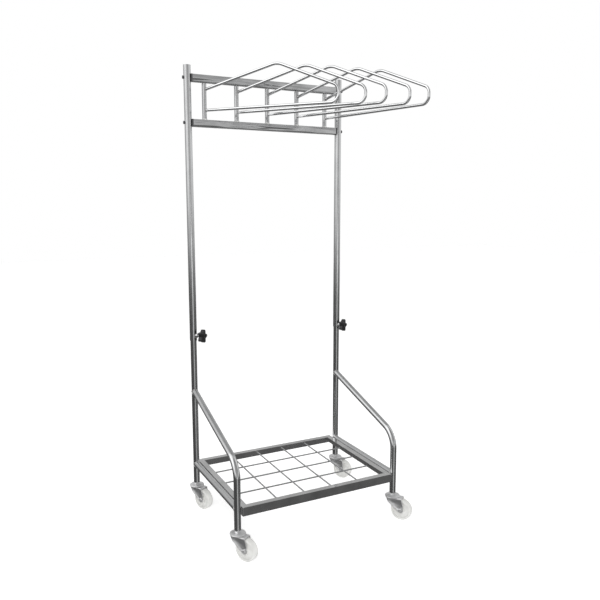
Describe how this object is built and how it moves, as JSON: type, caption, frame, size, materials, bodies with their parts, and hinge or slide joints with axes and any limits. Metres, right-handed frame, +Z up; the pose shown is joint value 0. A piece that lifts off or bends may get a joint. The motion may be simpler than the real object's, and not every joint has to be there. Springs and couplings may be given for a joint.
{
  "type": "lead apron stand",
  "caption": "Mobile steel stand with telescopic posts, swinging hanger arms for X-ray protection aprons, a wire shelf and swivel casters.",
  "frame": {"origin": "on the floor, under the middle of the whole stand's outline with its arms at rest", "axes": "+Z up, +X to the right, +Y to the back; the posts are at the back and the arms reach forward"},
  "size_m": [0.691, 0.5118, 1.595],
  "materials": {
    "polished_tube": "polished stainless tube with fine draw lines along it",
    "satin_angle": "satin stainless angle bar",
    "bright_rod": "bright polished rod",
    "zinc_plate": "bright zinc plate",
    "dark_bolt_steel": "dark bolt steel",
    "black_plastic": "black moulded plastic",
    "black_rubber": "black rubber",
    "white_nylon": "white nylon"
  },
  "bodies": {
    "base": {"rear_post_left": "polished_tube", "rear_post_right": "polished_tube", "front_leg_left": "polished_tube", "front_leg_right": "polished_tube", "side_rail_left": "polished_tube", "side_rail_right": "polished_tube", "shelf_rail_front": "satin_angle", "shelf_rail_back": "satin_angle", "shelf_rail_left": "satin_angle", "shelf_rail_right": "satin_angle", "shelf_wires_long": "bright_rod", "shelf_wires_cross": "bright_rod", "shelf_spacers": "polished_tube", "caster_sockets": "dark_bolt_steel", "caster_stems": "zinc_plate", "caster_covers": "zinc_plate"},
    "upper_frame": {"upper_tube_left": "polished_tube", "upper_tube_right": "polished_tube", "post_caps": "polished_tube", "upper_crossbar": "polished_tube", "lower_crossbar": "polished_tube", "crossbar_saddles": "black_rubber", "crossbar_bolts": "dark_bolt_steel", "crossbar_plugs": "dark_bolt_steel", "pivot_rods": "polished_tube", "pivot_washers": "white_nylon", "clamp_bosses": "polished_tube"},
    "hanger_1": {"hanger_arm_1": "bright_rod", "hanger_sleeve_1": "polished_tube"},
    "hanger_2": {"hanger_arm_2": "bright_rod", "hanger_sleeve_2": "polished_tube"},
    "hanger_3": {"hanger_arm_3": "bright_rod", "hanger_sleeve_3": "polished_tube"},
    "hanger_4": {"hanger_arm_4": "bright_rod", "hanger_sleeve_4": "polished_tube"},
    "hanger_5": {"hanger_arm_5": "bright_rod", "hanger_sleeve_5": "polished_tube"},
    "left_clamp": {"clamp_knob_left": "black_plastic", "clamp_screw_left": "polished_tube"},
    "right_clamp": {"clamp_knob_right": "black_plastic", "clamp_screw_right": "polished_tube"},
    "swivel_rear_left": {"caster_fork_rear_left": "zinc_plate", "caster_balls_rear_left": "zinc_plate", "caster_axle_rear_left": "zinc_plate"},
    "wheel_rear_left": {"caster_wheel_rear_left": "white_nylon"},
    "swivel_front_left": {"caster_fork_front_left": "zinc_plate", "caster_balls_front_left": "zinc_plate", "caster_axle_front_left": "zinc_plate"},
    "wheel_front_left": {"caster_wheel_front_left": "white_nylon"},
    "swivel_front_right": {"caster_fork_front_right": "zinc_plate", "caster_balls_front_right": "zinc_plate", "caster_axle_front_right": "zinc_plate"},
    "wheel_front_right": {"caster_wheel_front_right": "white_nylon"},
    "swivel_rear_right": {"caster_fork_rear_right": "zinc_plate", "caster_balls_rear_right": "zinc_plate", "caster_axle_rear_right": "zinc_plate"},
    "wheel_rear_right": {"caster_wheel_rear_right": "white_nylon"}
  },
  "joints": [
    {"name": "height_slide", "type": "slide", "parent": "base", "child": "upper_frame", "axis": [0, 0, 1], "range_m": [-0.15, 0.3]},
    {"name": "hanger_1_swing", "type": "hinge", "parent": "upper_frame", "child": "hanger_1", "pos_m": [-0.25723, 0.22932, 1.448], "axis": [0, 0, 1], "range_deg": [-110, 4.5]},
    {"name": "hanger_2_swing", "type": "hinge", "parent": "upper_frame", "child": "hanger_2", "pos_m": [-0.13723, 0.22932, 1.448], "axis": [0, 0, 1], "range_deg": [-5.5, 1.8]},
    {"name": "hanger_3_swing", "type": "hinge", "parent": "upper_frame", "child": "hanger_3", "pos_m": [-0.01723, 0.22932, 1.448], "axis": [0, 0, 1], "range_deg": [-2.1, 6.2]},
    {"name": "hanger_4_swing", "type": "hinge", "parent": "upper_frame", "child": "hanger_4", "pos_m": [0.10277, 0.22932, 1.448], "axis": [0, 0, 1], "range_deg": [-6.8, 4.8]},
    {"name": "hanger_5_swing", "type": "hinge", "parent": "upper_frame", "child": "hanger_5", "pos_m": [0.22277, 0.22932, 1.448], "axis": [0, 0, 1], "range_deg": [-5, 56]},
    {"name": "left_clamp_turn", "type": "hinge", "parent": "upper_frame", "child": "left_clamp", "pos_m": [-0.31723, 0.22932, 0.654], "axis": [0.6947, -0.7193, 0], "range_deg": [0, 720]},
    {"name": "right_clamp_turn", "type": "hinge", "parent": "upper_frame", "child": "right_clamp", "pos_m": [0.28277, 0.22932, 0.644], "axis": [0.5446, -0.8387, 0], "range_deg": [0, 720]},
    {"name": "swivel_rear_left_turn", "type": "hinge", "parent": "base", "child": "swivel_rear_left", "pos_m": [-0.31723, 0.22932, 0.085], "axis": [0, 0, 1], "continuous": true},
    {"name": "wheel_rear_left_spin", "type": "hinge", "parent": "swivel_rear_left", "child": "wheel_rear_left", "pos_m": [-0.30189, 0.19787, 0.0375], "axis": [0.8988, 0.4384, 0], "continuous": true},
    {"name": "swivel_front_left_turn", "type": "hinge", "parent": "base", "child": "swivel_front_left", "pos_m": [-0.31723, -0.18068, 0.085], "axis": [0, 0, 1], "continuous": true},
    {"name": "wheel_front_left_spin", "type": "hinge", "parent": "swivel_front_left", "child": "wheel_front_left", "pos_m": [-0.29868, -0.21036, 0.0375], "axis": [0.848, 0.5299, 0], "continuous": true},
    {"name": "swivel_front_right_turn", "type": "hinge", "parent": "base", "child": "swivel_front_right", "pos_m": [0.28277, -0.18068, 0.085], "axis": [0, 0, 1], "continuous": true},
    {"name": "wheel_front_right_spin", "type": "hinge", "parent": "swivel_front_right", "child": "wheel_front_right", "pos_m": [0.30383, -0.20863, 0.0375], "axis": [0.7986, 0.6018, 0], "continuous": true},
    {"name": "swivel_rear_right_turn", "type": "hinge", "parent": "base", "child": "swivel_rear_right", "pos_m": [0.28277, 0.22932, 0.085], "axis": [0, 0, 1], "continuous": true},
    {"name": "wheel_rear_right_spin", "type": "hinge", "parent": "swivel_rear_right", "child": "wheel_rear_right", "pos_m": [0.30183, 0.19997, 0.0375], "axis": [0.8387, 0.5446, 0], "continuous": true}
  ]
}
